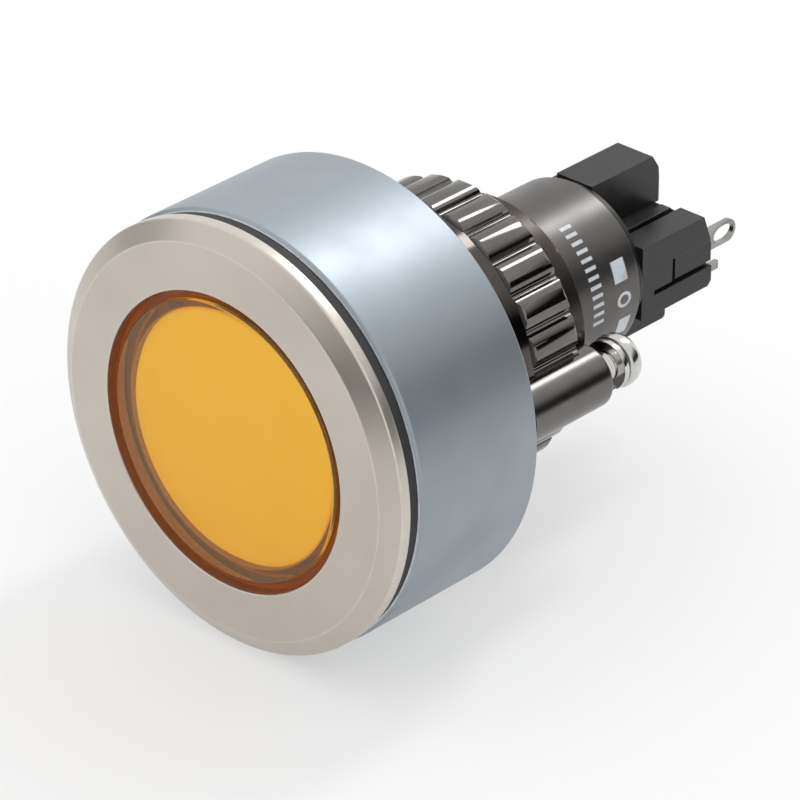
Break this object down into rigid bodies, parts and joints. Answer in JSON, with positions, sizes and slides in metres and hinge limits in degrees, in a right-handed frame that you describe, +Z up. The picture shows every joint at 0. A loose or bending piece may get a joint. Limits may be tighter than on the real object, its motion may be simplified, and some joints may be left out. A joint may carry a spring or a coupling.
{
  "type": "panel pilot light",
  "caption": "Round amber panel pilot light with a raised metal collar, a fluted clamp nut with a clamp screw, and solder terminals behind the panel.",
  "frame": {"origin": "centre of the collar's rear face, which lies on the front of the panel", "axes": "+Y along the lamp's axis, from the lens to the terminals; +Z up; +X to the right seen from the front"},
  "size_m": [0.0432, 0.0649, 0.0432],
  "materials": {
    "champagne": "satin anodised warm grey aluminium, fine blasted grain",
    "blue_grey": "satin anodised blue-grey aluminium",
    "black_rubber": "matt black rubber",
    "dark_metal": "dark nickel plated, satin",
    "black_nickel": "bright dark nickel plate",
    "white_plastic": "white reflecting plastic",
    "amber": "clear amber polycarbonate, polished",
    "clear_rubber": "brown silicone cord",
    "yellow_plastic": "translucent yellow diffusing plastic",
    "dark_sleeve": "satin dark brown-grey finish with plain white marks",
    "brown_plastic": "moulded brown insulating plastic",
    "brass": "bright pressed brass",
    "glass": "clear glass",
    "nickel": "bright nickel plate",
    "black_plastic": "fine grained black moulded plastic",
    "tinned": "tinned brass strip"
  },
  "bodies": {
    "housing": {"front_ring": "champagne", "ring_gasket": "black_rubber", "collar": "blue_grey", "panel_seal": "black_rubber", "barrel": "dark_metal", "reflector": "white_plastic", "rear_body": "dark_sleeve", "lamp_socket": "brown_plastic", "bayonet_shell": "brass", "lamp_globe": "glass", "lamp_cap": "nickel", "centre_contact": "brass", "contact_spring": "tinned", "terminal_hub": "black_plastic", "right_block": "black_plastic", "left_block": "black_plastic", "upper_block": "black_plastic", "foot_block": "black_plastic", "right_solder_tab": "tinned", "left_solder_tab": "tinned", "right_short_blade": "tinned", "left_short_blade": "tinned"},
    "lens": {"lens": "amber", "lens_seal": "clear_rubber", "diffuser": "yellow_plastic"},
    "washer": {"tab_washer": "dark_metal"},
    "nut": {"clamp_nut": "black_nickel"},
    "screw_washer": {"lock_washer": "nickel"},
    "screw": {"clamp_screw": "nickel"}
  },
  "joints": [
    {"name": "lens_pull", "type": "slide", "parent": "housing", "child": "lens", "axis": [0, -1, 0], "range_m": [0, 0.009]},
    {"name": "nut_travel", "type": "slide", "parent": "housing", "child": "washer", "axis": [0, 1, 0], "range_m": [-0.0035, 0.009]},
    {"name": "nut_turn", "type": "hinge", "parent": "washer", "child": "nut", "pos_m": [0, 0.0095, 0], "axis": [0, 1, 0], "range_deg": [-1261, 3241]},
    {"name": "screw_travel", "type": "slide", "parent": "nut", "child": "screw_washer", "axis": [0, 1, 0], "range_m": [-0.0022, 0.002]},
    {"name": "screw_turn", "type": "hinge", "parent": "screw_washer", "child": "screw", "pos_m": [0.01371, 0.0185, -0.00193], "axis": [0, 1, 0], "range_deg": [-1585, 1441]}
  ],
  "couplings": [
    {"joint": "nut_turn", "follows": "nut_travel", "rad_per_m": 6283.2},
    {"joint": "screw_turn", "follows": "screw_travel", "rad_per_m": 12566}
  ]
}
